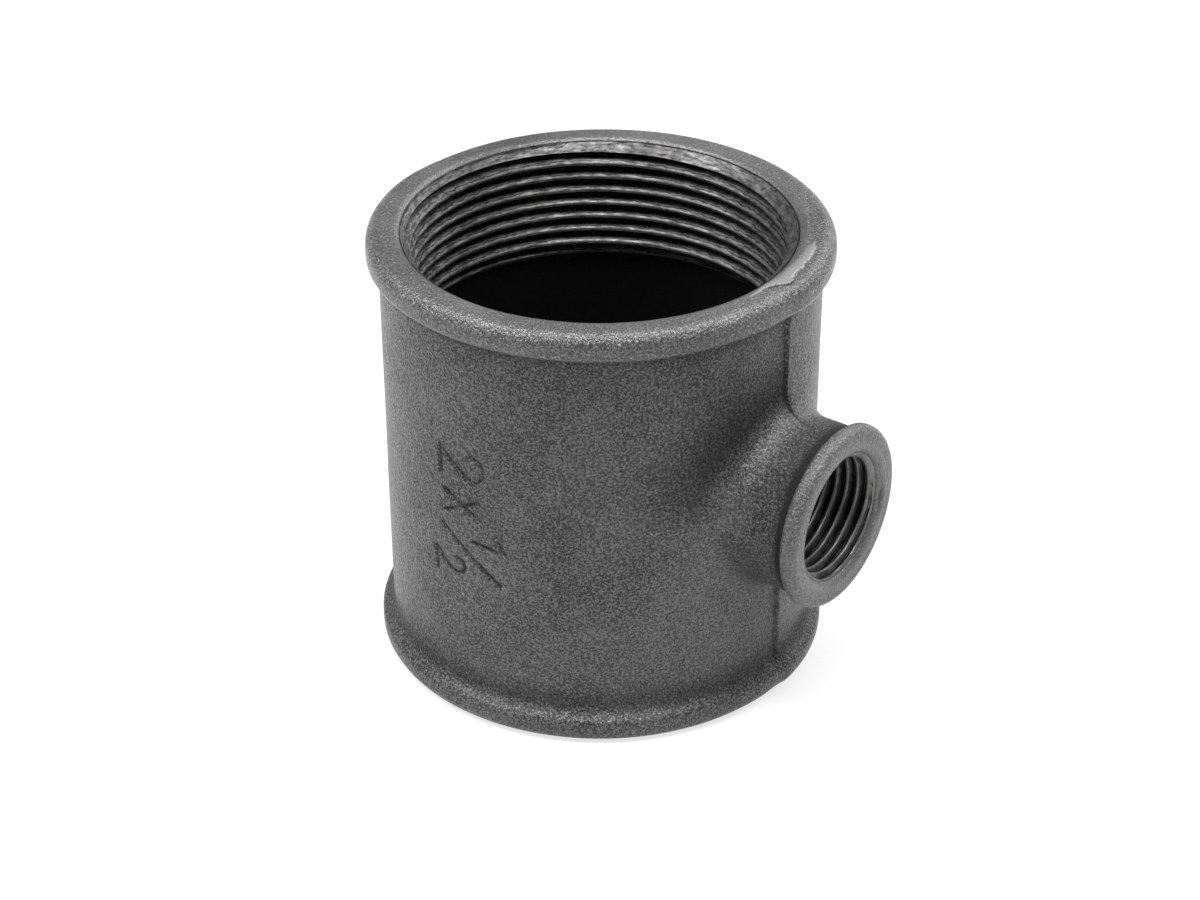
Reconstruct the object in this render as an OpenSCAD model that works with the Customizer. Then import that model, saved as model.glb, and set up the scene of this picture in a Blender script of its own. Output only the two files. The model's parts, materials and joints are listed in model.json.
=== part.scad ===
// Reducing tee: a beaded pipe fitting, cast in one piece and bored for pipe threads.
// The run stands along +Z with its lower port face at z = 0, and the branch points along +X.

/* [Run] */
// Length of the run, from port face to port face
run_length = 71; // [62:0.5:90]
// Outside diameter of the run between its end beads
run_od = 66.8; // [60:0.1:76]
// Metal between the outside of the run and the thread's minor diameter
run_wall = 5.072; // [4:0.002:8]
// How far the cored chamber is set back behind the thread's minor diameter
run_relief = 1.572; // [0.5:0.002:2.5]
// How far each end bead stands out from the run
run_bead_rim = 1.85; // [1:0.05:3]
// Height of each end bead along the run
run_bead_height = 4.3; // [3.6:0.1:7]
// Rounding of the outer edge of each end bead
run_bead_edge = 2.1; // [0.5:0.1:2.4]

/* [Run ports] */
// Depth of the threaded bore, from the port face
run_thread_depth = 18.8; // [12:0.1:24]
// Width of the machined chamfer at the mouth
run_chamfer = 1.622; // [0.6:0.002:2.4]
// Width of the cast lip that rolls from the rim's flat land over to the chamfer
run_lip_width = 1.25; // [0.8:0.05:1.6]
// Depth of that roll-over, from the port face
run_lip_depth = 0.55; // [0.3:0.05:0.9]

/* [Branch] */
// Distance from the run's axis to the branch port face
branch_reach = 45.2; // [43:0.1:60]
// Outside diameter of the branch neck
branch_od = 26.5; // [23:0.1:30]
// Metal between the outside of the neck and the thread's minor diameter
branch_wall = 3.934; // [3:0.002:6]
// How far the cored hole behind the thread is set back behind its minor diameter
branch_relief = 1.284; // [0.3:0.002:2]
// How far the branch bead stands out from the neck
branch_bead_rim = 1.15; // [0.5:0.05:2.5]
// Height of the branch bead along the branch
branch_bead_height = 2.4; // [2.1:0.1:5]
// Rounding of the outer edge of the branch bead
branch_bead_edge = 1.4; // [0.5:0.1:1.5]
// Radius of the fillet that flares the branch into the run
branch_fillet = 4.5; // [1.5:0.1:6]

/* [Branch port] */
// Depth of the threaded bore, from the port face
branch_thread_depth = 13.4; // [8:0.1:14]
// Width of the machined chamfer at the mouth
branch_chamfer = 0.584; // [0.3:0.002:1.2]
// Width of the cast lip that rolls from the bead's flat land over to the chamfer
branch_lip_width = 1.7; // [1.2:0.05:2.1]
// Depth of that roll-over, from the port face
branch_lip_depth = 0.9; // [0.4:0.05:1.2]

/* [Casting] */
// Mismatch of the two mould halves of the run, along the branch
mould_shift = 0.5; // [0:0.05:1]
// Width of the shoulder that the chamfering tool leaves inside each cast lip
mouth_shoulder = 0.15; // [0.05:0.05:0.3]

/* [Hidden] */
$fn = 96;

run_r = run_od / 2;
branch_r = branch_od / 2;
branch_z = run_length / 2;

// How far a cutter runs past the face that it opens
overrun = 2;
// How far the flare's fillet sinks into the walls that it joins
fillet_bite = 0.05;
// Sections round the flare, and steps along each section's arc
fillet_sections = 60;
fillet_steps = 8;
// The inner corner of a flare section, in fillet radii from the arc's centre
fillet_root = 1.7;
// Side of the block that stands for one mould half
mould_size = 2 * max(run_length, run_od + 2 * run_bead_rim);

// Outline of a bead, to revolve: x is the radius, y the distance in from the port face.
// The bead's back shoulder and its root fillet share the overhang, so they meet in one S curve.
module bead_outline(tube_r, rim, height, edge) {
    bead_r = tube_r + rim;
    shoulder = rim / 2;
    square([bead_r - edge, height]);
    translate([0, edge])
        square([bead_r - shoulder, height - edge]);
    translate([0, edge])
        square([bead_r, height - edge - shoulder]);
    translate([bead_r - edge, edge])
        circle(edge);
    translate([bead_r - shoulder, height - shoulder])
        circle(shoulder);
    translate([tube_r, height])
        difference() {
            square(shoulder);
            translate([shoulder, shoulder])
                circle(shoulder);
        }
}

// Outline of a port's opening, to revolve: rolled lip, cut shoulder, 45 degree chamfer, bore at the
// thread's minor diameter, and a 45 degree run-out into the cored space, which ends at core_end.
module port_outline(minor_r, depth, chamfer, lip_width, lip_depth, relief, core_end) {
    mouth_r = minor_r + chamfer;
    lip_r = mouth_r + lip_width;
    core_r = minor_r + relief;
    lip_round = (pow(lip_width - mouth_shoulder, 2) + pow(lip_depth, 2)) / (2 * lip_depth);
    translate([0, -overrun])
        square([lip_r, overrun]);
    difference() {
        square([lip_r, lip_depth]);
        translate([lip_r, lip_round])
            circle(lip_round);
    }
    polygon([
        [0, lip_depth - mouth_shoulder],
        [mouth_r, lip_depth - mouth_shoulder],
        [mouth_r, lip_depth],
        [minor_r, lip_depth + chamfer],
        [minor_r, depth],
        [core_r, depth + relief],
        [core_r, core_end],
        [0, core_end]
    ]);
}

// Repeats a shape that is drawn from the lower port face at the upper one.
module both_ends() {
    children();
    translate([0, 0, run_length])
        mirror([0, 0, 1])
            children();
}

// Turns a shape that is drawn along +Z from a port face inwards to the branch port.
module at_branch_port() {
    translate([branch_reach, 0, branch_z])
        rotate([0, -90, 0])
            children();
}

// Outside of the run as one solid: the plain barrel and its two end beads.
module run_outside() {
    cylinder(h = run_length, r = run_r);
    both_ends()
        rotate_extrude()
            bead_outline(run_r, run_bead_rim, run_bead_height, run_bead_edge);
}

// The part of the run that one mould half shaped: side is -1 or 1 along Y.
module run_half(side) {
    intersection() {
        run_outside();
        translate([-mould_size / 2, min(side, 0) * mould_size, -mould_size / 2])
            cube([mould_size, mould_size, 2 * mould_size]);
    }
}

// Outside of the branch as one solid, from its port face to the run's axis.
module branch_outside() {
    at_branch_port()
        rotate_extrude() {
            square([branch_r, branch_reach]);
            bead_outline(branch_r, branch_bead_rim, branch_bead_height, branch_bead_edge);
        }
}

// One section of the flare at angle a round the branch axis: the arc of a ball that rolls along
// the corner between the neck and the run, closed by a point inside the metal.
function flare_section(a) =
    let (
        from_branch = branch_r + branch_fillet - fillet_bite,
        from_run = run_r + branch_fillet - fillet_bite,
        y = from_branch * cos(a),
        z = from_branch * sin(a),
        x = sqrt(pow(from_run, 2) - pow(y, 2)),
        to_neck = [0, -cos(a), -sin(a)],
        to_run = [-x, -y, 0] / from_run,
        turn = acos(to_neck * to_run),
        to_corner = (to_neck + to_run) / norm(to_neck + to_run)
    )
    [
        for (i = [0 : fillet_steps])
            let (t = turn * i / fillet_steps)
            [x, y, z] + branch_fillet * (sin(turn - t) * to_neck + sin(t) * to_run) / sin(turn),
        [x, y, z] + fillet_root * branch_fillet * to_corner
    ];

// The flare: a fillet of constant radius all round the foot of the branch.
module branch_flare() {
    corners = fillet_steps + 2;
    points = [
        for (s = [0 : fillet_sections - 1])
            each flare_section(360 * s / fillet_sections)
    ];
    faces = [
        for (s = [0 : fillet_sections - 1], i = [0 : corners - 1])
            let (
                here = s * corners,
                next = (s + 1) % fillet_sections * corners,
                j = (i + 1) % corners
            )
            each [[here + i, here + j, next + j], [here + i, next + j, next + i]]
    ];
    translate([0, 0, branch_z])
        polyhedron(points, faces);
}

// Everything that the core and the cutting tools leave empty, true to the two axes.
module inside() {
    both_ends()
        rotate_extrude()
            port_outline(run_r - run_wall, run_thread_depth, run_chamfer,
                run_lip_width, run_lip_depth, run_relief, branch_z + overrun);
    at_branch_port()
        rotate_extrude()
            port_outline(branch_r - branch_wall, branch_thread_depth, branch_chamfer,
                branch_lip_width, branch_lip_depth, branch_relief, branch_reach);
}

// The casting: the run's two mould halves met slightly out of line, and the bores are true.
module tee_body() {
    color("dimgray")
        difference() {
            union() {
                run_half(-1);
                translate([mould_shift, 0, 0])
                    run_half(1);
                branch_outside();
                branch_flare();
            }
            inside();
        }
}

tee_body();
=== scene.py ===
"""Reducing tee of black malleable iron: the finished casting and the stage it is shown on."""
import json

import bmesh
import bpy
import numpy as np
from bpy.props import FloatProperty, FloatVectorProperty, PointerProperty
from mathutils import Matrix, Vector, noise


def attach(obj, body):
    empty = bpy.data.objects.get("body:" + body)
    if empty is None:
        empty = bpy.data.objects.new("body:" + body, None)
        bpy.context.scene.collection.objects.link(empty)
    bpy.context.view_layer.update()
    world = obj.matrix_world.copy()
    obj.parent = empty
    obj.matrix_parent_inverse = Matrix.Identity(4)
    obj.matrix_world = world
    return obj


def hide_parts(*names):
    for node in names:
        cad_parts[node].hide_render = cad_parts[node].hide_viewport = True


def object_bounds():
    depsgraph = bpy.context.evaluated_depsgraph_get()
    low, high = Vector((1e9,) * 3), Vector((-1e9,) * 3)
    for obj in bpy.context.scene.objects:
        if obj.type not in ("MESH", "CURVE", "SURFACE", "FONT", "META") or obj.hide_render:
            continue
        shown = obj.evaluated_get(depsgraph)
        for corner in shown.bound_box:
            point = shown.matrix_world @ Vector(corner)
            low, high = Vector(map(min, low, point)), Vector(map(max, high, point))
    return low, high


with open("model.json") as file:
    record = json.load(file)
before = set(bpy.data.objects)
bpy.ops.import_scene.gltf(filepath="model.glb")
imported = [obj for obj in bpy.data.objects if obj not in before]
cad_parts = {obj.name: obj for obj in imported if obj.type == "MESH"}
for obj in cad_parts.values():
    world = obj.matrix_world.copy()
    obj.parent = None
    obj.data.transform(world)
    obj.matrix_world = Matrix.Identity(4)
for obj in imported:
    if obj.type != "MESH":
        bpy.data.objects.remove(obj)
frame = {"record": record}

bl_info = {
    "name": "Reducing tee",
    "version": (1, 0, 0),
    "blender": (4, 5, 0),
    "location": "View3D > Sidebar > Tee",
    "description": "Builds a cast reducing tee with cut pipe threads, and a stage to show it on",
    "category": "Add Mesh",
}

MM = 0.001
CAD_BOX = [[float(value) for value in corner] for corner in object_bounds()]
PORTS = {mount["name"]: mount for mount in frame["record"]["mounts"]}
CAST, CUT_RUN, CUT_BRANCH, CORED = range(4)
# Form of a pipe thread, in pitches: its depth, and the radius of its rounded crests and roots
THREAD_HEIGHT, THREAD_ROUND = 0.640327, 0.137329


def linear(hexadecimal):
    """Turns an sRGB hex value into linear red, green and blue."""
    shown = np.array([int(hexadecimal[i:i + 2], 16) for i in (0, 2, 4)]) / 255
    light = np.where(shown <= 0.04045, shown / 12.92, ((shown + 0.055) / 1.055) ** 2.4)
    return tuple(float(value) for value in light)


def length(name, description, millimetres):
    """A size in the sidebar, written here in millimetres."""
    return FloatProperty(name=name, description=description, default=millimetres * MM,
                         min=0, precision=5, subtype="DISTANCE", unit="LENGTH")


def colour(name, description, hexadecimal):
    """A colour in the sidebar, written here as sRGB hex."""
    return FloatVectorProperty(name=name, description=description, default=linear(hexadecimal),
                               min=0, max=1, size=3, subtype="COLOR")


class TeeSizes(bpy.types.PropertyGroup):
    """Sizes of the casting and its threads."""
    run_length: length("Run length", "From port face to port face", CAD_BOX[1][2] / MM)
    run_diameter: length("Run diameter", "Outside of the run between its beads", 66.8)
    run_bead_rim: length("Run bead rim", "How far each end bead stands out from the run", 1.85)
    run_bead_height: length("Run bead height", "Height of each end bead along the run", 4.3)
    run_bead_edge: length("Run bead edge", "Rounding of the outer edge of each end bead", 2.1)
    lower_root: length("Lower bead root", "Fillet at the root of the lower bead, which came out fuller", 2.2)
    lower_curl: length("Lower bead curl", "Rounding of the lower bead's back", 1.2)
    run_minor: length("Run minor radius", "Minor radius of the run's thread",
                      PORTS["upper_port"]["dims"]["r_mm"])
    run_pitch: length("Run pitch", "Pitch of the run's thread, 11 per inch", 2.309)
    run_thread_depth: length("Run thread depth", "Depth of the full thread from the port face", 18.8)
    run_chamfer: length("Run chamfer", "Width of the machined chamfer at the mouth", 1.622)
    run_lip_width: length("Run lip width", "Width of the cast lip round the chamfer", 1.25)
    run_lip_depth: length("Run lip depth", "How far that lip rolls in from the face", 0.55)
    run_relief: length("Run relief", "How far the chamber is set back behind the thread", 1.572)
    branch_reach: length("Branch reach", "From the run's axis to the branch port face", CAD_BOX[1][0] / MM)
    branch_height: length("Branch height", "Height of the branch axis", PORTS["branch_port"]["pos_m"][2] / MM)
    branch_diameter: length("Branch diameter", "Outside of the branch neck", 26.5)
    branch_bead_rim: length("Branch bead rim", "How far the branch bead stands out from the neck", 1.15)
    branch_bead_height: length("Branch bead height", "Height of the bead along the branch", 2.4)
    branch_bead_edge: length("Branch bead edge", "Rounding of the bead's outer edge", 1.4)
    branch_fillet: length("Branch fillet", "Radius of the flare that joins branch and run", 4.5)
    branch_minor: length("Branch minor radius", "Minor radius of the branch thread",
                         PORTS["branch_port"]["dims"]["r_mm"])
    branch_pitch: length("Branch pitch", "Pitch of the branch thread, 14 per inch", 1.814)
    branch_thread_depth: length("Branch thread depth", "Depth of the full thread from the port face", 13.4)
    branch_chamfer: length("Branch chamfer", "Width of the machined chamfer at the mouth", 0.584)
    branch_lip_width: length("Branch lip width", "Width of the cast lip round the chamfer", 1.7)
    branch_lip_depth: length("Branch lip depth", "How far that lip rolls in from the face", 0.9)
    branch_relief: length("Branch relief", "How far the cored hole is set back behind the thread", 1.284)
    shoulder: length("Mouth shoulder", "Ledge that the chamfering tool leaves inside each lip", 0.15)
    mould_shift: length("Mould shift", "Mismatch of the two mould halves along the branch", 0.5)
    mark_depth: length("Mark depth", "Depth of the size mark in the side of the run", 0.38)
    unevenness: length("Unevenness", "Swell of the cast surface, as the sand left it", 0.05)


class TeeFinish(bpy.types.PropertyGroup):
    """Colours and grain of the three finishes."""
    skin_low: colour("Skin in hollows", "Oxide skin between the sand grains' prints", "202021")
    skin_high: colour("Skin on tops", "Oxide skin on the rubbed tops of the grain", "9A9A9B")
    grain: length("Sand grain", "Width of the print that one sand grain leaves", 0.35)
    cut_bright: colour("Cut iron", "Freshly cut iron on crests and chamfers", "858483")
    # Near-black of the cutting oil in the thread's grooves; the same colour paints shade in the grooves,
    # creases, size mark, the slip's gap and the chip
    oil_and_shade_black: colour("Cutting oil", "Dark oil and swarf in the thread's grooves", "0B0B0B")
    # Near-black of the cored chamber's wall: painted shade for the deep bore
    cored: colour("Cored wall", "Sooty wall of the cored chamber", "050505")


class TeeStage(bpy.types.PropertyGroup):
    """Camera and surroundings."""
    azimuth: FloatProperty(name="Azimuth", description="Camera's turn round the run from the front",
                           default=np.radians(36.45), subtype="ANGLE", unit="ROTATION")
    elevation: FloatProperty(name="Elevation", description="Camera's height angle",
                             default=np.radians(31.61), subtype="ANGLE", unit="ROTATION")
    roll: FloatProperty(name="Roll", description="Camera's turn about its own axis",
                        default=np.radians(-0.12), subtype="ANGLE", unit="ROTATION")
    distance: length("Distance", "From the camera to the point it looks at", 434.4)
    aim_height: length("Aim height", "Height of that point on the run's axis", 31.07)
    lens: length("Focal length", "Camera's focal length on a 36 mm sensor", 82.64)
    backdrop: colour("Backdrop", "Colour of the floor and the surroundings", "FFFFFF")


class Skin:
    """The casting's surface, gathered in mm as patches that share their edges point for point."""

    def __init__(self):
        self.points, self.faces, self.finishes, self.total = [], [], [], 0

    def add(self, points, faces, finish):
        points = np.asarray(points, float).reshape(-1, 3)
        self.points.append(points)
        self.faces += [tuple(self.total + corner for corner in face) for face in faces]
        self.finishes += [finish] * len(faces)
        self.total += len(points)

    def band(self, rows, finish, keep=None, closed=True):
        """Adds a grid of points; closed joins its last column to its first."""
        rows = np.asarray(rows, float)
        count, across = rows.shape[:2]
        faces = []
        for i in range(count - 1):
            for j in range(across if closed else across - 1):
                if keep is None or keep[i, j]:
                    k = (j + 1) % across
                    faces.append((i * across + j, i * across + k, (i + 1) * across + k, (i + 1) * across + j))
        self.add(rows, faces, finish)

    def seam(self, ring, turns, other, other_turns, finish):
        """Zips two rings that have different counts, walking round both by their angles."""
        a, b = np.argsort(turns % (2 * np.pi)), np.argsort(other_turns % (2 * np.pi))
        at_a, at_b = (turns % (2 * np.pi))[a], (other_turns % (2 * np.pi))[b]
        at_a, at_b = np.append(at_a, at_a[0] + 2 * np.pi), np.append(at_b, at_b[0] + 2 * np.pi)
        i = j = 0
        faces = []
        while i < len(a) or j < len(b):
            here, there = a[i % len(a)], len(a) + b[j % len(b)]
            if j == len(b) or (i < len(a) and at_a[i + 1] <= at_b[j + 1]):
                i += 1
                faces.append((here, a[i % len(a)], there))
            else:
                j += 1
                faces.append((here, len(a) + b[j % len(b)], there))
        self.add(np.concatenate([ring, other]), faces, finish)

    def mesh(self, name):
        """Merges the patches into one closed mesh in mm, with its faces turned outwards."""
        mesh = bpy.data.meshes.new(name)
        mesh.from_pydata(np.concatenate(self.points).tolist(), [], self.faces)
        mesh.polygons.foreach_set("material_index", self.finishes)
        build = bmesh.new()
        build.from_mesh(mesh)
        bmesh.ops.remove_doubles(build, verts=build.verts, dist=0.002)
        bmesh.ops.recalc_face_normals(build, faces=build.faces)
        open_edges = sum(not edge.is_manifold for edge in build.edges)
        if open_edges:
            raise RuntimeError(f"{name} has {open_edges} open edges")
        build.to_mesh(mesh)
        build.free()
        return mesh


class Port:
    """One port, in mm: its face, the way it looks, and the sizes of its bead, lip and thread."""

    def __init__(self, face, out, side, tube, sizes, kind, root=None, curl=None):
        self.face, self.out, self.side = (np.array(v, float) for v in (face, out, side))
        self.up = np.cross(self.out, self.side)
        self.tube = tube
        names = ("bead_rim", "bead_height", "bead_edge", "minor", "pitch", "thread_depth",
                 "chamfer", "lip_width", "lip_depth", "relief")
        for name in names:
            setattr(self, name, getattr(sizes, f"{kind}_{name}") / MM)
        self.shoulder = sizes.shoulder / MM
        self.bead = tube + self.bead_rim
        self.mouth = self.minor + self.chamfer
        self.lip = self.mouth + self.lip_width
        self.core = self.minor + self.relief
        self.end = self.thread_depth + self.relief
        # The fillet at the bead's root and the rounding of its back meet in one S curve.
        self.root, self.curl = root or self.bead_rim / 2, curl or self.bead_rim / 2
        self.swing = np.arccos(1 - self.bead_rim / (self.root + self.curl))
        self.foot = self.bead_height + self.root * np.sin(self.swing)

    def ring(self, radius, depth, turns):
        """Points round the axis, at a distance from it and a depth in from the face."""
        radius, depth = np.broadcast_to(radius, turns.shape), np.broadcast_to(depth, turns.shape)
        spoke = np.cos(turns)[..., None] * self.side + np.sin(turns)[..., None] * self.up
        return self.face + radius[..., None] * spoke - depth[..., None] * self.out

    def rings(self, outline, turns):
        return [self.ring(radius, depth, turns) for radius, depth in outline]

    def bead_outline(self):
        """Radius and depth from the bead's root, over the bead, to the edge of the flat land."""
        swing = np.degrees(self.swing)
        back = self.bead_height - self.curl * np.sin(self.swing)
        return (arc((self.tube + self.root, self.foot), self.root, 180, 180 + swing, 5)
                + arc((self.bead - self.curl, back), self.curl, swing, 0, 5)[1:]
                + arc((self.bead - self.bead_edge, self.bead_edge), self.bead_edge, 0, -90, 9))

    def land_outline(self, steps):
        """Radius and depth across the land and down the rolled lip to the chamfer's ledge."""
        flat = [(radius, 0) for radius in np.linspace(self.bead - self.bead_edge, self.lip, steps + 1)]
        width = self.lip_width - self.shoulder
        bow = (width ** 2 + self.lip_depth ** 2) / (2 * self.lip_depth)
        swing = np.degrees(np.arcsin(width / bow))
        return flat + arc((self.lip, bow), bow, -90, -90 - swing, 7)[1:]

    def thread(self, columns, crest):
        """Chamfer, thread and run-out as one sheet whose rows follow the helix.

        crest is the depth of one crest at angle 0. Rows that run past either end stop on it.
        """
        # The rounded form of a pipe thread: crest and root arcs that meet 27.5 degree flanks.
        tip = THREAD_ROUND * self.pitch
        half = np.radians([0, 31.25, 62.5])
        across = np.concatenate([tip * np.sin(half), self.pitch / 2 - tip * np.sin(half[::-1])])
        height = THREAD_HEIGHT * self.pitch
        into = np.concatenate([tip * (1 - np.cos(half)), height - tip * (1 - np.cos(half[::-1]))])
        across = np.concatenate([across, self.pitch - across[-2:0:-1]])
        into = np.concatenate([into, into[-2:0:-1]])
        first = self.lip_depth - (self.lip_depth - crest) % self.pitch
        turns = np.linspace(0, 2 * np.pi, columns + 1)
        count = int(np.ceil((self.end - first) / self.pitch + 1))
        crests = first + self.pitch * np.arange(count + 1)
        start = np.concatenate([depth + across for depth in crests[:-1]] + [crests[-1:]])
        form = np.concatenate([into] * count + [[0]])
        depth = np.clip(start[:, None] - self.pitch * turns / (2 * np.pi), self.lip_depth, self.end)
        fade = np.clip((depth - self.lip_depth) / (0.4 * self.pitch), 0, 1)
        radius = np.maximum(self.minor + form[:, None] * fade, self.mouth - (depth - self.lip_depth))
        radius = np.maximum(radius, self.core - (self.end - depth))
        return self.ring(radius, depth, np.broadcast_to(turns, depth.shape))


def arc(centre, radius, start, end, steps):
    """Points of an arc as radius and depth; its angles are in degrees."""
    swing = np.radians(np.linspace(start, end, steps + 1))
    return [(centre[0] + radius * np.cos(a), centre[1] + radius * np.sin(a)) for a in swing]


def smooth(low, high, value):
    """Rises from 0 at low to 1 at high with no corner."""
    part = np.clip((value - low) / (high - low), 0, 1)
    return part * part * (3 - 2 * part)


def mouth(skin, port, turns, columns, crest, cut, land_turns=None, land_steps=5):
    """Builds one port from the root of its bead to the end of its thread's run-out."""
    skin.band(port.rings(port.bead_outline(), turns), CAST)
    land = port.land_outline(land_steps)
    if land_turns is None:
        land_turns = turns
    else:
        outer, inner = (port.ring(*land[i], t) for i, t in ((0, turns), (1, land_turns)))
        skin.seam(outer, turns, inner, land_turns, CAST)
        land = land[1:]
    skin.band(port.rings(land, land_turns), CAST)
    round_turns = np.linspace(0, 2 * np.pi, columns, endpoint=False)
    skin.seam(port.ring(*land[-1], land_turns), land_turns,
              port.ring(port.mouth, port.lip_depth, round_turns), round_turns, cut)
    skin.band(port.thread(columns, crest), cut, closed=False)
    return round_turns


def pierced_wall(skin, radius, turns, heights, hole, middle, meet, steps, finish, fine=None):
    """Builds a round wall with a square gap, and a web in the gap that closes in on the branch.

    meet gives the turn and height where the web ends, for angles round the branch. fine is a window
    of the wall, in turns and heights, with each cell split into so many parts.
    """
    def at(turn, height):
        return np.stack([radius * np.cos(turn), radius * np.sin(turn), height], -1)

    turn_grid, height_grid = np.meshgrid(turns, heights)
    left, right = np.searchsorted(turns, hole[:2])
    low, high = np.searchsorted(heights, hole[2:])
    keep = np.ones((len(heights) - 1, len(turns)), bool)
    keep[low:high, left:right] = False
    if fine is not None:
        j0, j1 = np.searchsorted(turns, fine[:2])
        i0, i1 = np.searchsorted(heights, fine[2:4])
        parts = fine[4]
        keep[i0 - 1:i1 + 1, j0 - 1:j1 + 1] = False
        dense = [np.interp(np.linspace(a, b, (b - a) * parts + 1), np.arange(len(values)), values)
                 for values, a, b in ((turns, j0, j1), (heights, i0, i1))]
        skin.band(at(*np.meshgrid(*dense)), finish, closed=False)
        # The cells round the window take up its extra points on the side that they share with it.
        for i in range(i0 - 1, i1 + 1):
            for j in range(j0 - 1, j1 + 1):
                inside_i, inside_j = i0 <= i < i1, j0 <= j < j1
                if inside_i and inside_j:
                    continue
                split = (inside_j and i == i1, inside_i and j == j0 - 1,
                         inside_j and i == i0 - 1, inside_i and j == j1)
                corners = [(j, i), (j + 1, i), (j + 1, i + 1), (j, i + 1)]
                cell = []
                for side in range(4):
                    a, b = (np.array([turns[c[0]], heights[c[1]]])
                            for c in (corners[side], corners[(side + 1) % 4]))
                    count = parts if split[side] else 1
                    cell += [a + (b - a) * n / count for n in range(count)]
                cell = np.array(cell)
                skin.add(at(cell[:, 0], cell[:, 1]), [range(len(cell))], finish)
    skin.band(at(turn_grid, height_grid), finish, keep)
    edge = np.array([(turns[j], heights[low]) for j in range(left, right)]
                    + [(turns[right], heights[i]) for i in range(low, high)]
                    + [(turns[j], heights[high]) for j in range(right, left, -1)]
                    + [(turns[left], heights[i]) for i in range(high, low, -1)])
    angles = np.arctan2(edge[:, 1] - middle, radius * np.sin(edge[:, 0]))
    goal = meet(angles)
    web = [edge + (goal - edge) * t for t in np.linspace(0, 1, steps + 1)]
    skin.band([at(row[:, 0], row[:, 1]) for row in web], finish)
    return angles


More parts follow.
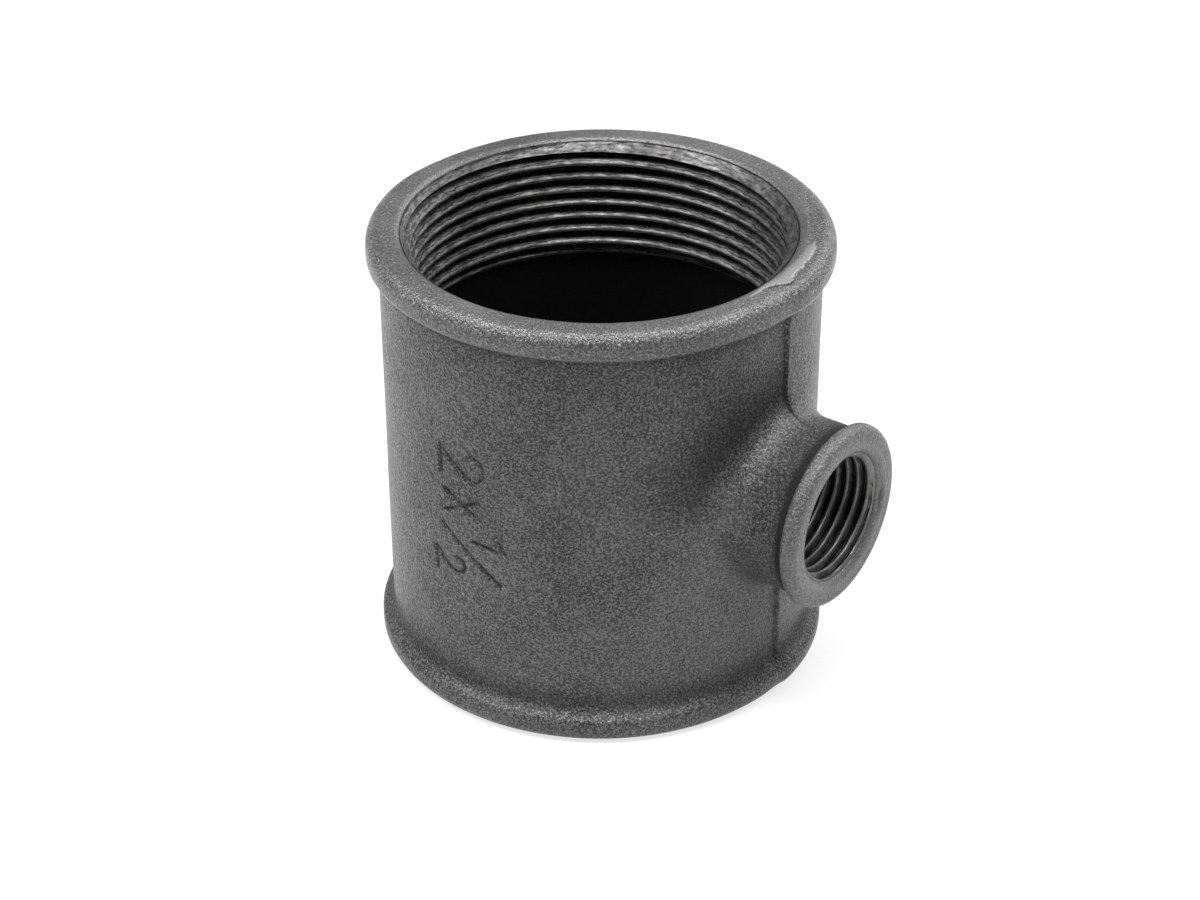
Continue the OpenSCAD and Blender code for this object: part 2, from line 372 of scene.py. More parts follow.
class Tee:
    """The tee's sizes in mm, and the patches that make it."""

    # Where the mould halves met, beside the plane of the two axes, and the width of that step
    PARTING, STEP = 0.55, 0.2
    # The size mark: strokes as advance and height in mm, read with the head turned to the right
    MARK = [
        [(0.1, 6.4), (0.5, 8.0), (1.6, 8.8), (3.0, 8.7), (4.2, 7.9), (4.5, 6.7), (4.0, 5.6),
         (0.0, 0.6), (4.8, 0.5)],
        [(7.4, 1.4), (10.9, 8.0)], [(11.2, 1.2), (7.7, 7.7)],
        [(13.8, 0.6), (21.4, 11.2)],
        [(13.8, 11.2), (15.5, 12.2), (15.0, 6.6)],
        [(19.0, 3.2), (19.3, 4.4), (20.3, 4.9), (21.3, 4.3), (21.7, 3.2), (21.2, 1.9),
         (18.6, -1.2), (22.2, -0.9)],
    ]
    MARK_TURN, MARK_TOP, MARK_STROKE = -99.5, 46.8, 0.36
    # The slip at the rim beside the parting: turn in degrees, and the radii that the flap lies between
    SLIP = [(-11, 31.6, 31.6), (-7.6, 31.0, 31.6), (-4.1, 30.4, 31.5), (-1.3, 30.2, 32.1), (0.6, 30.2, 32.9),
            (2.8, 30.3, 33.1), (4.0, 30.4, 32.6), (5.3, 30.5, 32.5), (8.3, 30.6, 32.3), (10.3, 30.7, 32.5),
            (13.3, 31.0, 32.4), (16.9, 31.1, 32.5), (20.2, 31.2, 32.5), (22.7, 31.6, 32.5), (26, 32.2, 32.3)]
    # Turns between which the flap's edge stands off the rim, its height there and the depth of the gap
    CRACK, FLAP, GAP = (-4.5, 3.6), 0.15, 0.15
    # The chip in the branch's lip: angle round the branch in degrees, radius, half widths along both
    CHIP, CHIP_DEPTH = (-10, 10.7, 11, 0.55), 0.28
    # Columns round the run and the branch thread, and rows up the run and its chamber
    COLUMNS, BRANCH_COLUMNS, ROWS, CHAMBER_ROWS = 180, 108, 53, 25
    # Depth of one crest at the start of each thread's turn
    UPPER_CREST, LOWER_CREST, BRANCH_CREST = 4.65, 3.9, 1.9

    def __init__(self, sizes):
        for name in sizes.__annotations__:
            setattr(self, name, getattr(sizes, name) / MM)
        self.run_r = self.run_diameter / 2
        self.branch_r = self.branch_diameter / 2
        top = self.run_length
        self.upper = Port((0, 0, top), (0, 0, 1), (1, 0, 0), self.run_r, sizes, "run")
        self.lower = Port((0, 0, 0), (0, 0, -1), (1, 0, 0), self.run_r, sizes, "run",
                          self.lower_root, self.lower_curl)
        self.branch = Port((self.branch_reach, 0, self.branch_height), (1, 0, 0), (0, 1, 0),
                           self.branch_r, sizes, "branch")

    def run_turns(self, count):
        """Column angles round the run, close together where the mould halves met."""
        even = np.linspace(-np.pi, np.pi, count, endpoint=False)
        front = np.arcsin(self.PARTING / self.run_r)
        near = np.array([-0.55, -0.3, -0.15, -0.05, 0.05, 0.15, 0.3, 0.55]) / self.run_r
        close = np.concatenate([front + near, np.pi - front + near])
        clear = np.abs((even[:, None] - close + np.pi) % (2 * np.pi) - np.pi).min(1) > 0.4 / self.run_r
        return np.sort(np.concatenate([even[clear], close]))

    def flare_centre(self, angles):
        """Centre of the ball that rolls in the corner between branch and run."""
        out = self.branch_r + self.branch_fillet
        y, z = out * np.cos(angles), out * np.sin(angles)
        return np.stack([np.sqrt((self.run_r + self.branch_fillet) ** 2 - y ** 2), y, z], -1)

    def flare_foot(self, angles):
        """Turn and height at which the flare runs out on the run."""
        centre = self.flare_centre(angles)
        return np.stack([np.arctan2(centre[:, 1], centre[:, 0]), self.branch_height + centre[:, 2]], -1)

    def core_foot(self, angles):
        """Turn and height at which the branch's cored hole opens into the chamber."""
        y, z = self.branch.core * np.cos(angles), self.branch.core * np.sin(angles)
        return np.stack([np.arcsin(y / self.upper.core), self.branch_height + z], -1)

    def flare(self, angles, steps, neck_steps):
        """Rows of points from the run, up the flare and along the neck to the root of the bead."""
        centre = self.flare_centre(angles)
        to_neck = np.stack([0 * angles, -np.cos(angles), -np.sin(angles)], -1)
        to_run = centre * (-1, -1, 0) / (self.run_r + self.branch_fillet)
        swing = np.arccos((to_neck * to_run).sum(-1))[:, None]
        centre = centre + (0, 0, self.branch_height)
        rows = [centre + self.branch_fillet * (np.sin(swing * (1 - t)) * to_run + np.sin(swing * t) * to_neck)
                / np.sin(swing) for t in np.linspace(0, 1, steps + 1)]
        root = self.branch.ring(self.branch_r, self.branch.foot, angles)
        closer = 1 - np.linspace(1, 0, neck_steps + 1) ** 2
        return rows + [rows[-1] + (root - rows[-1]) * t for t in closer[1:]]

    def build(self):
        """Gathers every patch of the casting, outside and inside."""
        skin = Skin()
        turns = self.run_turns(self.COLUMNS)
        heights = np.linspace(self.lower.foot, self.run_length - self.upper.foot, self.ROWS)
        reach = self.branch_r + self.branch_fillet + 1.5
        half = np.arcsin(reach / self.run_r)
        span = np.radians([self.MARK_TURN - 6, self.MARK_TURN + 25])
        angles = pierced_wall(
            skin, self.run_r, turns, heights,
            (-half, half, self.branch_height - reach, self.branch_height + reach), self.branch_height,
            self.flare_foot, 5, CAST, (*span, self.MARK_TOP - 25, self.MARK_TOP + 2.5, 6))
        skin.band(self.flare(angles, 12, 8), CAST)
        slip = np.radians(np.arange(self.SLIP[0][0] - 2, self.SLIP[-1][0] + 2, 0.55))
        apart = turns[(turns < slip[0] - 0.01) | (turns > slip[-1] + 0.01)]
        land_turns = np.sort(np.concatenate([apart, slip]))
        round_turns = mouth(skin, self.upper, turns, self.COLUMNS, self.UPPER_CREST, CUT_RUN, land_turns, 11)
        mouth(skin, self.lower, -turns, self.COLUMNS, self.LOWER_CREST, CUT_RUN)
        core_turns = mouth(skin, self.branch, angles, self.BRANCH_COLUMNS, self.BRANCH_CREST, CUT_BRANCH)
        # The chamber, and the cored hole from the branch thread into it
        heights = np.linspace(self.lower.end, self.run_length - self.upper.end, self.CHAMBER_ROWS)
        chamber_turns = np.sort((round_turns + np.pi) % (2 * np.pi) - np.pi)
        reach = self.branch.core + 1
        half = np.arcsin(reach / self.upper.core)
        core_angles = pierced_wall(
            skin, self.upper.core, chamber_turns, heights,
            (-half, half, self.branch_height - reach, self.branch_height + reach), self.branch_height,
            self.core_foot, 2, CORED)
        turn, height = self.core_foot(core_angles).T
        ring = np.stack([self.upper.core * np.cos(turn), self.upper.core * np.sin(turn), height], -1)
        thread_end = self.branch.ring(self.branch.core, self.branch.end, core_turns)
        skin.seam(ring, core_angles, thread_end, core_turns, CORED)
        return skin

    def shape(self, mesh):
        """Moves the merged points from the true form to the one that the foundry and the tools left."""
        points = np.empty((len(mesh.vertices), 3))
        mesh.vertices.foreach_get("co", points.ravel())
        normals = np.empty((len(mesh.vertices), 3))
        mesh.vertex_normals.foreach_get("vector", normals.ravel())
        cast = np.ones(len(points))
        for face in mesh.polygons:
            if face.material_index != CAST:
                cast[list(face.vertices)] = 0
        oil_and_painted_shade = self.thread_oil_and_shade(points) * (1 - cast)
        points += normals * (self.swell(points) * cast)[:, None]
        points, painted_shade = self.press_mark(points, cast)
        points, slipped, gap_shadow = self.cut_slip(points)
        points, chip_shade = self.chip_lip(points)
        points[:, 0] += self.mismatch(points) * cast
        mesh.vertices.foreach_set("co", (points * MM).ravel())
        # Painted shade from the creases, the mark's strokes, the slip's gap and the chip joins the threads'
        # oil and painted shade
        oil_and_painted_shade = np.max([oil_and_painted_shade, painted_shade, gap_shadow, chip_shade, self.crease_shade(points) * cast], axis=0)
        wear_and_painted_light = np.maximum(self.wear_and_painted_light(points), 2.2 * slipped)
        dressed = np.maximum(self.dressed(points), slipped)
        for name, values in (("oil_and_painted_shade", oil_and_painted_shade), ("wear_and_painted_light", wear_and_painted_light), ("dressed", dressed)):
            mesh.attributes.new(name, "FLOAT", "POINT").data.foreach_set("value", values)

    def swell(self, points):
        """Height of the cast surface's slow swell and finer unevenness."""
        return self.unevenness * np.array([
            noise.noise(Vector(p) / 11) + 0.5 * noise.noise(Vector(p) / 3.1) for p in points])

    def mismatch(self, points):
        """How far each point moves along the branch with its mould half."""
        x, y, z = points.T
        out = np.hypot(x, y)
        end = np.minimum(z, self.run_length - z)
        # The step is sharp along the run and runs out over a wider slope on the beads.
        slope = np.where(x > 0, 2.5, 14) * smooth(self.upper.bead_height + 2, self.upper.bead_height, end)
        half = smooth(-0.5, 0.5, (y - self.PARTING) / (self.STEP + slope))
        near_branch = (x > 0) & (np.hypot(y, z - self.branch_height) < self.branch_r + self.branch_fillet)
        fade = np.where(near_branch, smooth(self.branch_fillet * 0.8, 0, out - self.run_r), 1)
        on_rim = smooth(self.upper.lip, self.upper.bead - self.upper.bead_edge, out)
        return self.mould_shift * half * fade * on_rim

    def thread_oil_and_shade(self, points):
        """Cutting oil and painted shade on the threads: 1 in grooves and under lips, least on chamfers and
        crests.
        """
        x, y, z = points.T
        # Port, distance from its axis, depth from its face, least value, bend of the rise, painted shadow
        # line at the lip
        places = [(self.upper, np.hypot(x, y), np.minimum(z, self.run_length - z), 0.6, 2, 1),
                  (self.branch, np.hypot(y, z - self.branch_height), self.branch_reach - x, 0.0, 0.35, 0.4)]
        dark = []
        for port, out, depth, least, bend, line in places:
            cone = port.mouth - (depth - port.lip_depth)
            low = np.clip((out - np.maximum(port.minor, cone)) / (THREAD_HEIGHT * port.pitch), 0, 1)
            # A painted shadow line along the tool's ledge under each lip
            ledge = line * smooth(0.12, 0, depth - port.lip_depth)
            dark.append(np.maximum(least + (1 - least) * low ** bend, ledge))
        return np.where(x > self.upper.core, dark[1], dark[0])

    def crease_shade(self, points):
        """How much painted shade lies in the creases behind each bead, at the foot of the flare and along its
        parting.

        Each term is an amount times a bell over a distance in mm.
        """
        x, y, z = points.T
        out, depth, rise = np.hypot(x, y), self.run_length - z, z - self.branch_height
        # Painted shade in the corner behind the upper bead, and a wider one at the lower bead's root
        upper = 0.4 * np.exp(-np.hypot(out - self.run_r, depth - self.upper.foot) ** 2 / 0.3)
        lower = 0.45 * np.exp(-np.hypot(out - self.run_r, z - self.lower.foot) ** 2 / 6)
        # Painted shade: a thin dark line behind the branch bead, and a wide shade that is least at the level
        # of the axis and darkest above and under the branch
        round_branch = np.hypot(y, rise)
        off = round_branch - self.branch_r
        back = self.branch_reach - x - self.branch.foot
        gap = np.hypot(off, np.maximum(back, 0)) + 2 * np.maximum(-back, 0)
        level = np.exp(-(rise / 8) ** 2)
        branch = 1.3 * np.exp(-gap ** 2 / 0.7) + (0.7 - 0.45 * level) * np.exp(-gap ** 2 / 40)
        branch = branch * (x > self.run_r - 1)
        # Painted shade at the flare's foot above the branch, on the mark's side of the parting.
        aside = smooth(0.35, 0.95, (0.89 * rise - 0.45 * y) / round_branch)
        outside = off - self.branch_fillet + 0.6
        foot = 0.62 * aside * np.exp(-(outside / np.where(outside > 0, 6.5, 1.7)) ** 2)
        foot = foot * smooth(0.3, -0.3, y - self.PARTING) * (x > 0)
        # A painted shadow line along the parting step on top of the flare and neck
        line = 0.8 * np.exp(-((y - self.PARTING) / 0.3) ** 2) * (x > 0) * (rise > 0)
        line = line * (depth > self.upper.foot + 1) * smooth(-0.2, 0.8, out - self.run_r)
        line = line * smooth(self.branch_fillet + 1, self.branch_fillet - 1, off)
        line = line * (1 - 0.7 * smooth(0.5, -0.5, back))
        return np.clip(np.max([upper, lower, branch, foot, line], axis=0), 0, 1)

    def wear_and_painted_light(self, points):
        """How much paler the beads and their faces are, partly from handling wear and partly painted light;
        painted shade keeps the lower bead darker.
        """
        x, y, z = points.T
        depth = np.minimum(z, self.run_length - z)
        rim = (np.hypot(x, y) - self.run_r) / self.run_bead_rim
        run = np.maximum(smooth(0.3, 1, rim), smooth(1, 0.4, depth))
        # On the lower bead the value turns negative: painted shade that keeps it darker
        run = run * np.where(z > self.branch_height, 0.4, -0.3)
        # The upper bead's lower shoulder gets painted light, for the floor's bounce.
        shoulder = np.exp(-((self.run_length - z - self.run_bead_height + 0.5) / 0.4) ** 2)
        run = run + 0.6 * shoulder * smooth(0.5, 1, rim)
        depth = self.branch_reach - x
        rim = (np.hypot(y, z - self.branch_height) - self.branch_r) / self.branch_bead_rim
        branch = np.maximum(smooth(0.3, 1, rim) * smooth(0.3, 0, depth - self.branch_bead_height),
                            smooth(1.2, 0.5, depth))
        return np.where(x > self.run_r + self.run_bead_rim + 1, branch, run)

    def dressed(self, points):
        """How far tools have smoothed the rolled lips and the rims."""
        x, y, z = points.T
        depth = np.minimum(z, self.run_length - z)
        run = smooth(0.3, 0, np.hypot(x, y) - self.upper.lip) * smooth(0.9, 0.6, depth)
        branch = smooth(0.4, 0, np.hypot(y, z - self.branch_height) - self.branch.lip)
        branch = branch * (x > self.branch_reach - 2)
        return np.max([0.6 * run, 0.35 * smooth(0.5, 0.1, depth), 0.5 * branch], axis=0)

    def press_mark(self, points, cast):
        """Presses the size mark into the side of the run, and gives the painted shade of its strokes."""
        x, y, z = points.T
        flat = np.stack([self.MARK_TOP - z, (np.arctan2(y, x) - np.radians(self.MARK_TURN)) * self.run_r], -1)
        near = (cast > 0) & (flat > (-2, -3)).all(1) & (flat < (24, 15)).all(1)
        depth = np.zeros(len(points))
        # The sand filled the strokes unevenly, so they fade in places.
        filled = np.array([noise.noise(Vector((*p, 4.7)) / 2.6) for p in flat[near]])
        stroke = np.exp(-(stroke_distance(flat[near], self.MARK) / self.MARK_STROKE) ** 2)
        depth[near] = stroke * np.clip(0.85 + 0.7 * filled, 0.35, 1)
        points = points - points * (1, 1, 0) / self.run_r * (depth * self.mark_depth)[:, None]
        # The strokes' darkness is painted shade
        return points, 0.8 * depth

    def cut_slip(self, points):
        """Smears a smooth flap of metal over the rim beside the parting, with a lowered gap along its edge
        that gets a painted shadow.
        """
        table = np.array(self.SLIP).T
        x, y, z = points.T
        out, turn = np.hypot(x, y), np.degrees(np.arctan2(y, x))
        inner, outer = (np.interp(turn, table[0], radii, left=0, right=0) for radii in table[1:])
        on_rim = z > self.run_length - self.run_lip_depth - 0.02
        across = (out - inner) / np.maximum(outer - inner, 0.05)
        inside = on_rim & (across > 0) & (across < 1)
        raised = z + (self.run_length + self.FLAP - z) * np.clip(across, 0, 1) ** 2
        # The gap under the flap's edge is lowered, and darkened with a painted shadow
        gap = np.exp(-((out - outer - 0.14) / 0.2) ** 2) * on_rim * ~inside
        gap = gap * smooth(0, 1, turn - self.CRACK[0]) * smooth(0, 0.6, self.CRACK[1] - turn)
        points = points.copy()
        points[:, 2] = np.where(inside, raised, z) - self.GAP * gap
        return points, inside * smooth(-0.3, 0.8, across), np.minimum(1, 1.3 * gap)

    def chip_lip(self, points):
        """Knocks the chip out of the branch's lip, and paints shade into the chip's outer half."""
        x, y, z = points.T
        angle, radius, wide, tall = self.CHIP
        out = np.hypot(y, z - self.branch_height)
        swing = np.degrees(np.arctan2(z - self.branch_height, y))
        chip = np.clip(1.4 - np.hypot((swing - angle) / wide, (out - radius) / tall), 0, 1)
        chip = chip * (x > self.branch_reach - self.branch_lip_depth - 0.02)
        points = points.copy()
        points[:, 0] -= self.CHIP_DEPTH * chip
        # Painted shade in the outer half of the chip
        return points, 0.6 * chip * (out > radius)


def stroke_distance(points, strokes):
    """Distance of each flat point from the nearest of the strokes."""
    nearest = np.full(len(points), 1e9)
    for stroke in strokes:
        for a, b in zip(np.array(stroke[:-1]), np.array(stroke[1:])):
            along = np.clip(((points - a) @ (b - a)) / ((b - a) @ (b - a)), 0, 1)
            nearest = np.minimum(nearest, np.linalg.norm(points - a - along[:, None] * (b - a), axis=1))
    return nearest


def add_node(tree, kind, feeds=None, values=None, **settings):
    """Adds a node, with its settings, the values of its sockets and the links that feed it."""
    node = tree.nodes.new(kind)
    for name, value in settings.items():
        setattr(node, name, value)
    for socket, value in (values or {}).items():
        node.inputs[socket].default_value = value
    for socket, source in (feeds or {}).items():
        tree.links.new(source, node.inputs[socket])
    return node


def start_material(name):
    """A new material with one surface shader, and the part's own coordinates in metres."""
    material = bpy.data.materials.new(name)
    material.use_nodes = True
    tree = material.node_tree
    tree.nodes.clear()
    shader = add_node(tree, "ShaderNodeBsdfPrincipled")
    add_node(tree, "ShaderNodeOutputMaterial", {"Surface": shader.outputs["BSDF"]})
    return material, tree, shader, add_node(tree, "ShaderNodeTexCoord").outputs["Object"]


def per_size(millimetres):
    """Pattern scale at which one cell of the pattern is so many millimetres wide."""
    return 1 / (millimetres * MM)


def cast_skin(finish):
    """Malleable iron as it leaves the sand and the annealing oven.

    The dry grey-black oxide keeps the print of the sand grains, so light breaks into fine speckle
    on it, and edges that were handled show a little paler, with painted light and shade mixed into
    the beads. Creases, the size mark, the slip's gap and the chip carry painted shade in near-black.
    """
    material, tree, shader, where = start_material("sand_cast_malleable_iron")
    grain = finish.grain / MM
    sand = add_node(tree, "ShaderNodeTexNoise", {"Vector": where},
                    {"Scale": per_size(grain), "Detail": 2.0, "Roughness": 0.55})
    tint = add_node(tree, "ShaderNodeTexNoise", {"Vector": where},
                    {"Scale": per_size(grain), "Detail": 2.5, "Roughness": 0.75})
    pits = add_node(tree, "ShaderNodeTexNoise", {"Vector": where},
                    {"Scale": per_size(4 * grain), "Detail": 1.0, "Roughness": 0.5})
    cloud = add_node(tree, "ShaderNodeTexNoise", {"Vector": where},
                     {"Scale": per_size(17), "Detail": 4.0, "Roughness": 0.65})
    # Painted shade in the creases, strokes, gap and chip, carried by the shape's attribute
    painted_shade = add_node(tree, "ShaderNodeAttribute", attribute_name="oil_and_painted_shade")
    tops = add_node(tree, "ShaderNodeMapRange", {"Value": tint.outputs["Fac"]},
                    {"From Min": 0.4, "From Max": 0.81}, interpolation_type="SMOOTHSTEP")
    worn = add_node(tree, "ShaderNodeMapRange", {"Value": cloud.outputs["Fac"]},
                    {"From Min": 0.3, "From Max": 0.7, "To Min": -0.1, "To Max": 0.1})
    dressed = add_node(tree, "ShaderNodeAttribute", attribute_name="dressed")
    evened = add_node(tree, "ShaderNodeMix", {"Factor": dressed.outputs["Fac"], "A": tops.outputs["Result"]},
                      {"B": 0.18}, data_type="FLOAT")
    clouded = add_node(tree, "ShaderNodeMath", {0: evened.outputs["Result"], 1: worn.outputs["Result"]},
                       operation="ADD")
    # Handling wear together with painted light and shade on the beads
    wear_and_painted_light = add_node(tree, "ShaderNodeAttribute", attribute_name="wear_and_painted_light")
    paler = add_node(tree, "ShaderNodeMath", {0: wear_and_painted_light.outputs["Fac"], 2: clouded.outputs[0]}, {1: 0.35},
                     operation="MULTIPLY_ADD")
    shade = add_node(tree, "ShaderNodeMix", {"Factor": paler.outputs[0]},
                     {"A": (*finish.skin_low, 1), "B": (*finish.skin_high, 1)}, data_type="RGBA",
                     clamp_factor=False)
    # Painted shade: the skin turns towards near-black where that attribute is high
    shade_share = add_node(tree, "ShaderNodeMath", {0: painted_shade.outputs["Fac"]}, {1: 0.9}, operation="MULTIPLY")
    shaded = add_node(tree, "ShaderNodeMix", {"Factor": shade_share.outputs[0], "A": shade.outputs["Result"]},
                     {"B": (*finish.oil_and_shade_black, 1)}, data_type="RGBA")
    rough = add_node(tree, "ShaderNodeMapRange", {"Value": sand.outputs["Fac"]},
                     {"From Min": 0.3, "From Max": 0.7, "To Min": 0.47, "To Max": 0.24})
    burnish = add_node(tree, "ShaderNodeMapRange", {"Value": wear_and_painted_light.outputs["Fac"]},
                       {"To Min": 1.0, "To Max": 0.62})
    burnished = add_node(tree, "ShaderNodeMath", {0: rough.outputs["Result"], 1: burnish.outputs["Result"]},
                         operation="MULTIPLY")
    matt = add_node(tree, "ShaderNodeMix", {"Factor": painted_shade.outputs["Fac"], "A": burnished.outputs[0]},
                    {"B": 0.95}, data_type="FLOAT")
    relief = add_node(tree, "ShaderNodeMath", {0: pits.outputs["Fac"], 1: sand.outputs["Fac"]},
                      operation="ADD")
    sharp = add_node(tree, "ShaderNodeMapRange", {"Value": dressed.outputs["Fac"]},
                     {"To Min": 1.0, "To Max": 0.3})
    bump = add_node(tree, "ShaderNodeBump",
                    {"Height": relief.outputs[0], "Strength": sharp.outputs["Result"]},
                    {"Distance": 0.24 * MM})
    shader.inputs["Metallic"].default_value = 0.25
    shader.inputs["Specular IOR Level"].default_value = 0.7
    tree.links.new(shaded.outputs["Result"], shader.inputs["Base Color"])
    tree.links.new(matt.outputs["Result"], shader.inputs["Roughness"])
    tree.links.new(bump.outputs["Normal"], shader.inputs["Normal"])
    return material


def cut_iron(finish, name, axis):
    """Iron bared by the chamfering tool and the tap, which turned about one axis of the part.

    Crests and chamfers are bright with fine streaks round the bore; dark cutting oil and painted shade fill
    the grooves.
    """
    material, tree, shader, where = start_material(name)
    drawn_out = [1.0 if axis == a else 0.18 for a in "XYZ"]
    round_bore = add_node(tree, "ShaderNodeMapping", {"Vector": where}, {"Scale": drawn_out})
    smear = add_node(tree, "ShaderNodeTexNoise", {"Vector": where},
                     {"Scale": per_size(2.2), "Detail": 4.0, "Roughness": 0.6})
    tear = add_node(tree, "ShaderNodeTexNoise", {"Vector": round_bore.outputs["Vector"]},
                    {"Scale": per_size(0.35), "Detail": 3.0, "Roughness": 0.7})
    oil_and_painted_shade = add_node(tree, "ShaderNodeAttribute", attribute_name="oil_and_painted_shade")
    oil = add_node(tree, "ShaderNodeMath", {0: smear.outputs["Fac"]}, {1: 0.45, 2: -0.22},
                   operation="MULTIPLY_ADD")
    # The tap's fine lines run along the thread, so they follow the height in the thread form.
    waver = add_node(tree, "ShaderNodeMath", {0: smear.outputs["Fac"]}, {1: 3.0}, operation="MULTIPLY")
    height = add_node(tree, "ShaderNodeMath", {0: oil_and_painted_shade.outputs["Fac"], 2: waver.outputs[0]}, {1: 9.0},
                      operation="MULTIPLY_ADD")
    lines = add_node(tree, "ShaderNodeTexNoise", {"W": height.outputs[0]}, {"Scale": 1.0, "Detail": 1.0},
                     noise_dimensions="1D")
    torn = add_node(tree, "ShaderNodeMath", {0: tear.outputs["Fac"], 2: oil.outputs[0]}, {1: 1.1},
                    operation="MULTIPLY_ADD")
    lined = add_node(tree, "ShaderNodeMath", {0: lines.outputs["Fac"], 2: torn.outputs[0]}, {1: 0.9},
                     operation="MULTIPLY_ADD")
    depth = add_node(tree, "ShaderNodeMath", {0: oil_and_painted_shade.outputs["Fac"], 1: lined.outputs[0]}, operation="ADD")
    # Lines and tears add 1 on average, so the range starts that much higher.
    depth = add_node(tree, "ShaderNodeMapRange", {"Value": depth.outputs[0]},
                     {"From Min": 1.1, "From Max": 2.05}, interpolation_type="SMOOTHSTEP")
    # Bright cut iron darkens towards near-black: oil together with painted shade in the grooves
    shade = add_node(tree, "ShaderNodeMix", {"Factor": depth.outputs["Result"]},
                     {"A": (*finish.cut_bright, 1), "B": (*finish.oil_and_shade_black, 1)}, data_type="RGBA")
    rough = add_node(tree, "ShaderNodeMapRange", {"Value": tear.outputs["Fac"]},
                     {"From Min": 0.3, "From Max": 0.7, "To Min": 0.32, "To Max": 0.58})
    bump = add_node(tree, "ShaderNodeBump", {"Height": tear.outputs["Fac"]},
                    {"Strength": 0.5, "Distance": 0.06 * MM})
    shader.inputs["Metallic"].default_value = 0.6
    tree.links.new(shade.outputs["Result"], shader.inputs["Base Color"])
    tree.links.new(rough.outputs["Result"], shader.inputs["Roughness"])
    tree.links.new(bump.outputs["Normal"], shader.inputs["Normal"])
    return material


def cored_wall(finish):
    """Iron against a baked sand core: a matt, mottled wall whose near-black colour is painted shade for the
    deep bore.
    """
    material, tree, shader, where = start_material("core_cast_malleable_iron")
    mottle = add_node(tree, "ShaderNodeTexNoise", {"Vector": where},
                    {"Scale": per_size(1.1), "Detail": 4.0, "Roughness": 0.6})
    shade = add_node(tree, "ShaderNodeMix", {"Factor": mottle.outputs["Fac"]},
                     {"A": (*finish.oil_and_shade_black, 1), "B": (*finish.cored, 1)}, data_type="RGBA")
    bump = add_node(tree, "ShaderNodeBump", {"Height": mottle.outputs["Fac"]},
                    {"Strength": 0.6, "Distance": 0.2 * MM})
    shader.inputs["Roughness"].default_value = 0.9
    shader.inputs["Specular IOR Level"].default_value = 0.1
    tree.links.new(shade.outputs["Result"], shader.inputs["Base Color"])
    tree.links.new(bump.outputs["Normal"], shader.inputs["Normal"])
    return material


class TEE_OT_casting(bpy.types.Operator):
    """Build the casting with its beads, flare, size mark and three cut threads"""
    bl_idname = "tee.casting"
    bl_label = "Casting"
    bl_options = {"REGISTER", "UNDO"}

    def execute(self, context):
        tee = Tee(context.scene.tee_sizes)
        mesh = tee.build().mesh("tee_casting")
        tee.shape(mesh)
        finish = context.scene.tee_finish
        for material in (cast_skin(finish), cut_iron(finish, "tapped_malleable_iron_run", "Z"),
                         cut_iron(finish, "tapped_malleable_iron_branch", "X"), cored_wall(finish)):
            mesh.materials.append(material)
        mesh.polygons.foreach_set("use_smooth", np.ones(len(mesh.polygons), bool))
        mesh.set_sharp_from_angle(angle=np.radians(60))
        mesh.update()
        piece = bpy.data.objects.new("tee_casting", mesh)
        context.collection.objects.link(piece)
        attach(piece, "root")
        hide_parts("tee_body")
        return {"FINISHED"}


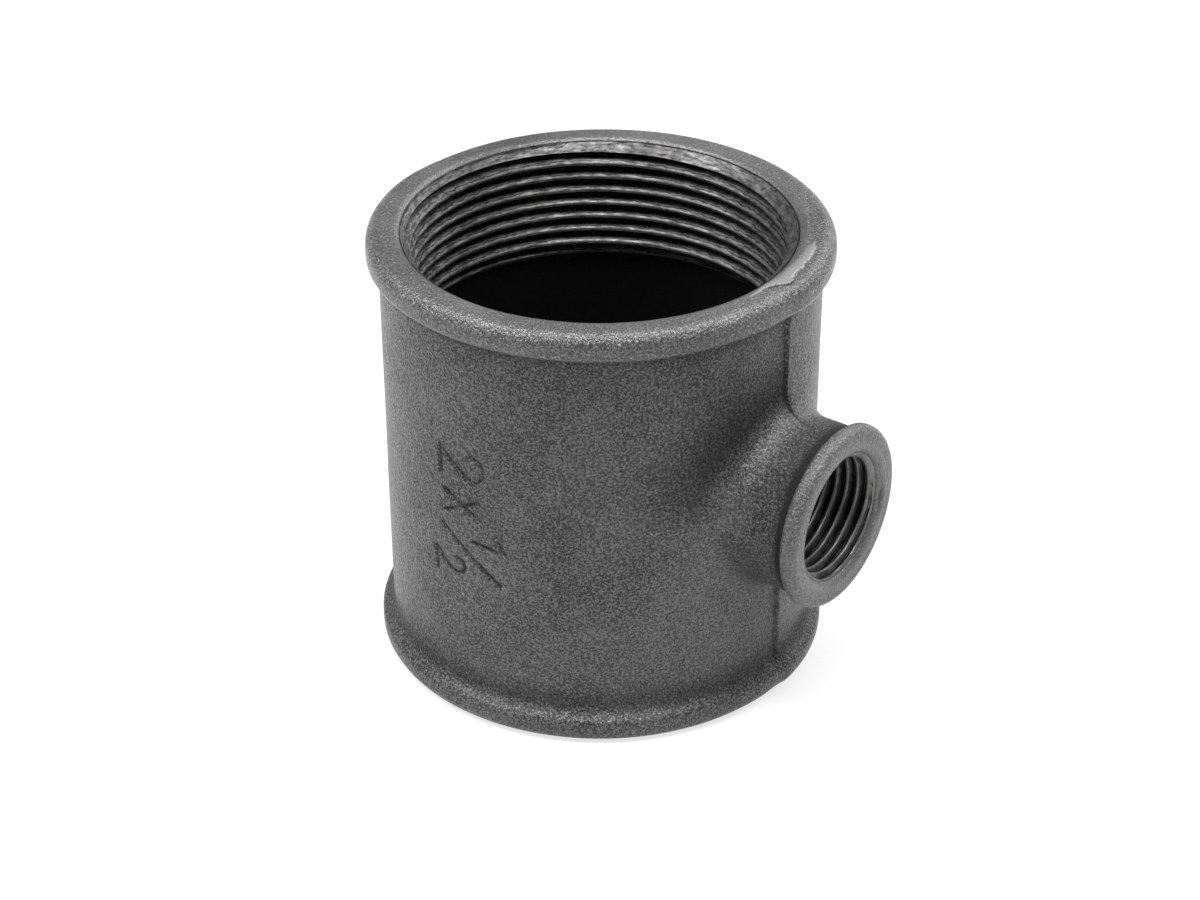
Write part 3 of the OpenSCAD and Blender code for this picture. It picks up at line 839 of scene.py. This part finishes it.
class TEE_OT_stage(bpy.types.Operator):
    """Set the white floor, the soft lights and the camera"""
    bl_idname = "tee.stage"
    bl_label = "Stage"
    bl_options = {"REGISTER", "UNDO"}

    # Name, turn and elevation in degrees, distance and sides in metres, power in watts
    LIGHTS = [
        ("overhead_softbox", -75, 76, 0.8, 0.22, 0.22, 3.55),
        ("left_softbox", -138, 52, 0.8, 0.4, 0.4, 4.5),
        ("left_rim_strip", -165, 20, 0.8, 0.4, 0.6, 0.62),
        ("right_softbox", 80, 32, 0.8, 0.7, 0.7, 3.8),
        ("right_front_softbox", 5, 66, 0.8, 0.25, 0.25, 3.3),
    ]
    # Strength of the room's own light, the paper's share of white, and the glow that lifts the rest
    ROOM_LIGHT, PAPER_SHADE, PAPER_GLOW = 0.16, 0.32, 0.72

    def execute(self, context):
        stage = context.scene.tee_stage
        self.surroundings(context, stage)
        middle = Vector((0, 0, stage.aim_height))
        for name, turn, rise, distance, width, tall, power in self.LIGHTS:
            lamp = bpy.data.lights.new(name, "AREA")
            lamp.shape, lamp.size, lamp.size_y, lamp.energy = "RECTANGLE", width, tall, power
            self.place(context, name, lamp, np.radians(turn), np.radians(rise), distance, middle)
        lens = bpy.data.cameras.new("camera")
        lens.lens, lens.sensor_width, lens.sensor_fit = stage.lens / MM, 36, "HORIZONTAL"
        lens.clip_start, lens.clip_end = 0.01, 20
        camera = self.place(context, "camera", lens, stage.azimuth - np.pi / 2, stage.elevation,
                            stage.distance, middle)
        camera.rotation_euler.rotate_axis("Z", stage.roll)
        context.scene.camera = camera
        context.scene.view_settings.view_transform = "Standard"
        return {"FINISHED"}

    def place(self, context, name, data, turn, rise, distance, aim):
        """Puts a lamp or camera at a turn round the run and a height angle, looking at aim."""
        item = bpy.data.objects.new(name, data)
        back = Vector((np.cos(turn) * np.cos(rise), np.sin(turn) * np.cos(rise), np.sin(rise)))
        item.location = aim + distance * back
        item.rotation_euler = back.to_track_quat("Z", "Y").to_euler()
        context.collection.objects.link(item)
        return item

    def surroundings(self, context, stage):
        """White paper floor in a dim grey room."""
        world = bpy.data.worlds.new("dim_room")
        context.scene.world = world
        world.use_nodes = True
        tree = world.node_tree
        tree.nodes.clear()
        sky = add_node(tree, "ShaderNodeBackground", None,
                       {"Color": (*stage.backdrop, 1), "Strength": self.ROOM_LIGHT})
        add_node(tree, "ShaderNodeOutputWorld", {"Surface": sky.outputs["Background"]})

        bpy.ops.mesh.primitive_plane_add(size=6, location=(0, 0, -0.00005))
        floor = context.active_object
        floor.name = "paper_floor"
        # Matt white paper: it takes the tee's soft shadow, and a little glow that only eye and
        # reflections see lifts its lit part to full white.
        material, tree, shader, _ = start_material("matt_white_paper")
        shader.inputs["Base Color"].default_value = (*(self.PAPER_SHADE * c for c in stage.backdrop), 1)
        shader.inputs["Roughness"].default_value = 0.95
        shader.inputs["Specular IOR Level"].default_value = 0.1
        rays = add_node(tree, "ShaderNodeLightPath")
        glow = add_node(tree, "ShaderNodeEmission", None,
                        {"Color": (*stage.backdrop, 1), "Strength": self.PAPER_GLOW})
        seen = rays.outputs["Is Camera Ray"]
        for also in ("Is Glossy Ray", "Is Transmission Ray"):
            seen = add_node(tree, "ShaderNodeMath", {0: seen, 1: rays.outputs[also]},
                            operation="MAXIMUM").outputs[0]
        hide = add_node(tree, "ShaderNodeEmission", None, {"Strength": 0.0})
        lift = add_node(tree, "ShaderNodeMixShader",
                        {0: seen, 1: hide.outputs["Emission"], 2: glow.outputs["Emission"]})
        both = add_node(tree, "ShaderNodeAddShader", {0: shader.outputs["BSDF"], 1: lift.outputs["Shader"]})
        output = next(n for n in tree.nodes if n.type == "OUTPUT_MATERIAL")
        tree.links.new(both.outputs["Shader"], output.inputs["Surface"])
        floor.data.materials.append(material)


class TEE_PT_sidebar(bpy.types.Panel):
    """Lists the tee's sizes, finishes and operators"""
    bl_idname = "TEE_PT_sidebar"
    bl_label = "Reducing tee"
    bl_space_type = "VIEW_3D"
    bl_region_type = "UI"
    bl_category = "Tee"

    def draw(self, context):
        layout = self.layout
        for operator in (TEE_OT_casting, TEE_OT_stage):
            layout.operator(operator.bl_idname)
        for group in (context.scene.tee_sizes, context.scene.tee_finish, context.scene.tee_stage):
            box = layout.box()
            for name in group.__annotations__:
                box.prop(group, name)


CLASSES = (TeeSizes, TeeFinish, TeeStage, TEE_OT_casting, TEE_OT_stage, TEE_PT_sidebar)
GROUPS = {"tee_sizes": TeeSizes, "tee_finish": TeeFinish, "tee_stage": TeeStage}


def register():
    for cls in CLASSES:
        bpy.utils.register_class(cls)
    for name, group in GROUPS.items():
        setattr(bpy.types.Scene, name, PointerProperty(type=group))


def unregister():
    for name in GROUPS:
        delattr(bpy.types.Scene, name)
    for cls in reversed(CLASSES):
        bpy.utils.unregister_class(cls)


def main():
    register()
    bpy.ops.tee.casting()
    bpy.ops.tee.stage()


if __name__ == "__main__":
    main()
